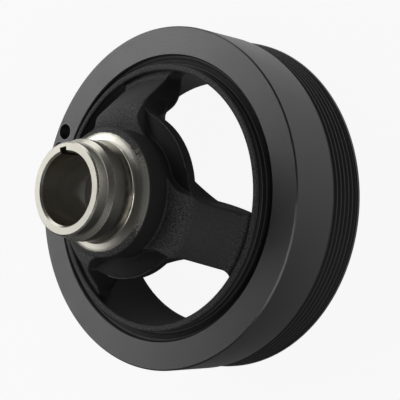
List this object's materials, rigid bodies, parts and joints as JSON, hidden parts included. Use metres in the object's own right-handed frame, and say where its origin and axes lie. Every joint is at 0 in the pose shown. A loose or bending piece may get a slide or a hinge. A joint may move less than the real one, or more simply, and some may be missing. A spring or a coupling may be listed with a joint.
{
  "type": "harmonic balancer",
  "caption": "Crankshaft damper: a spoked iron hub with a seal snout, bonded by a rubber ring to a heavy outer ring with belt grooves.",
  "frame": {"origin": "on the damper's axis, in the plane of the inertia ring's front face, on which the part stands", "axes": "+Z along the axis from the front of the engine towards the crankshaft, +Y through the keyway and one spoke"},
  "size_m": [0.1905, 0.1904, 0.126],
  "materials": {
    "hub_iron": "black painted casting, machined bare on the snout and in the bore",
    "rubber": "matt bonded elastomer",
    "ring_iron": "fine turned, satin grey"
  },
  "bodies": {
    "root": {"hub": "hub_iron", "rubber_ring": "rubber", "inertia_ring": "ring_iron"}
  },
  "joints": []
}
